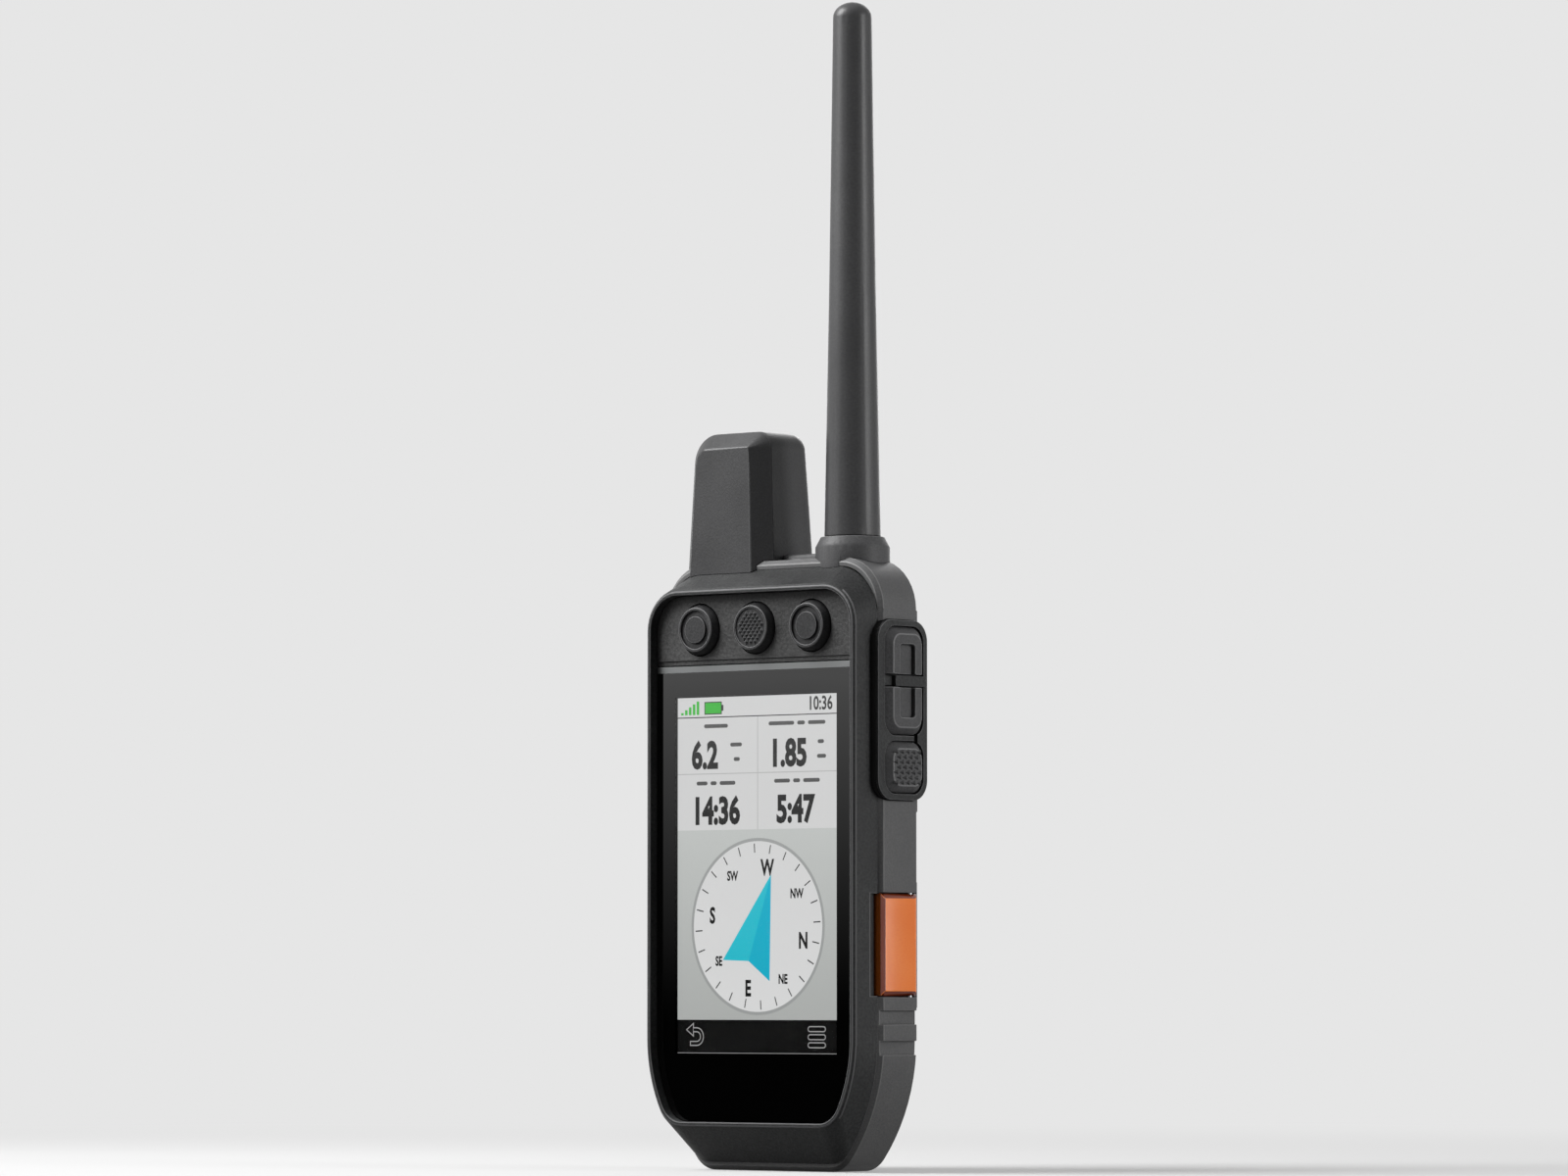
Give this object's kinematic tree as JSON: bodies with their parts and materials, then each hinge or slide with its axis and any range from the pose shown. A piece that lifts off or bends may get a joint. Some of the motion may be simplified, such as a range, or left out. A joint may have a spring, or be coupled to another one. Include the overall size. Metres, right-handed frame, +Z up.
{
  "type": "handheld gps unit",
  "caption": "Rugged handheld satellite navigator with a touch screen, front buttons, side keys, a hinged emergency flap, a stub antenna and a tapered whip antenna.",
  "frame": {"origin": "on the bottom face of the body, in its middle from side to side", "axes": "+X to the side with the keys, +Y to the back, +Z up along the antennas"},
  "size_m": [0.0656, 0.0338, 0.2569],
  "materials": {
    "shell_plastic": "moulded, fine texture",
    "band_plastic": "moulded, satin",
    "antenna_plastic": "moulded, fine texture",
    "panel_plastic": "moulded, coarse texture",
    "key_rubber": "moulded, matt",
    "seal_rubber": "moulded, matt",
    "cap_rubber": "moulded, matt",
    "whip_rubber": "moulded, satin",
    "cover_glass": "polished, black behind the border",
    "display": "lit",
    "flap_plastic": "satin orange",
    "sos_rubber": "moulded, matt",
    "steel": "satin",
    "brass": "turned",
    "circuit_board": "solder mask",
    "switch_plastic": "moulded",
    "antenna_ceramic": "fired",
    "battery_wrap": "wrapped"
  },
  "bodies": {
    "housing": {"front_housing": "shell_plastic", "mid_frame": "band_plastic", "rear_housing": "shell_plastic", "antenna_dome": "antenna_plastic", "helix_antenna": "antenna_ceramic", "button_panel": "panel_plastic", "touch_glass": "cover_glass", "lens_gasket": "seal_rubber", "lcd_module": "display", "button_mat": "seal_rubber", "front_switches": "switch_plastic", "key_gasket": "seal_rubber", "key_bezel": "band_plastic", "side_board": "circuit_board", "side_switches": "switch_plastic", "sos_hinge_pin": "steel", "antenna_collar": "antenna_plastic", "antenna_connector": "brass", "antenna_seal": "seal_rubber", "antenna_element": "brass", "whip_antenna": "whip_rubber", "main_board": "circuit_board", "board_shields": "steel", "buzzer": "switch_plastic", "housing_seal": "seal_rubber", "housing_screws": "steel", "battery_pack": "battery_wrap", "battery_contacts": "brass", "port_board": "circuit_board", "usb_socket": "steel"},
    "left_button": {"left_button": "key_rubber"},
    "center_button": {"center_button": "key_rubber"},
    "right_button": {"right_button": "key_rubber"},
    "up_key": {"up_key": "key_rubber"},
    "down_key": {"down_key": "key_rubber"},
    "power_key": {"power_key": "key_rubber"},
    "sos_cap": {"sos_cap": "flap_plastic"},
    "sos_button": {"sos_button": "sos_rubber"},
    "battery_cover": {"battery_cover": "shell_plastic", "cover_gasket": "seal_rubber", "mounting_spine": "panel_plastic"},
    "latch_hub": {"latch_hub": "panel_plastic", "latch_clip": "steel"},
    "latch_ring": {"latch_ring": "steel"},
    "weather_cap": {"weather_cap": "cap_rubber"}
  },
  "joints": [
    {"name": "left_button_press", "type": "slide", "parent": "housing", "child": "left_button", "axis": [0, 1, 0], "range_m": [0, 0.0006], "stiffness_N_per_m": 2500},
    {"name": "center_button_press", "type": "slide", "parent": "housing", "child": "center_button", "axis": [0, 1, 0], "range_m": [0, 0.0006], "stiffness_N_per_m": 2500},
    {"name": "right_button_press", "type": "slide", "parent": "housing", "child": "right_button", "axis": [0, 1, 0], "range_m": [0, 0.0006], "stiffness_N_per_m": 2500},
    {"name": "up_key_press", "type": "slide", "parent": "housing", "child": "up_key", "axis": [-1, 0, 0], "range_m": [0, 0.0005], "stiffness_N_per_m": 2500},
    {"name": "down_key_press", "type": "slide", "parent": "housing", "child": "down_key", "axis": [-1, 0, 0], "range_m": [0, 0.0005], "stiffness_N_per_m": 2500},
    {"name": "power_key_press", "type": "slide", "parent": "housing", "child": "power_key", "axis": [-1, 0, 0], "range_m": [0, 0.0005], "stiffness_N_per_m": 2500},
    {"name": "sos_button_press", "type": "slide", "parent": "housing", "child": "sos_button", "axis": [-1, 0, 0], "range_m": [0, 0.0004], "stiffness_N_per_m": 2500},
    {"name": "sos_cap_hinge", "type": "hinge", "parent": "housing", "child": "sos_cap", "pos_m": [0.03065, 0.0062, 0.0494], "axis": [0, 0, 1], "range_deg": [0, 100]},
    {"name": "cover_lift", "type": "slide", "parent": "housing", "child": "battery_cover", "axis": [0, 1, 0], "range_m": [0, 0.02]},
    {"name": "latch_turn", "type": "hinge", "parent": "battery_cover", "child": "latch_hub", "pos_m": [0, 0.01765, 0.0235], "axis": [0, 1, 0], "range_deg": [0, 90]},
    {"name": "ring_fold", "type": "hinge", "parent": "latch_hub", "child": "latch_ring", "pos_m": [0, 0.01925, 0.0235], "axis": [1, 0, 0], "range_deg": [0, 90]},
    {"name": "weather_cap_hinge", "type": "hinge", "parent": "housing", "child": "weather_cap", "pos_m": [0.00425, 0.0185, 0.121], "axis": [0, 0, 1], "range_deg": [0, 110]}
  ]
}
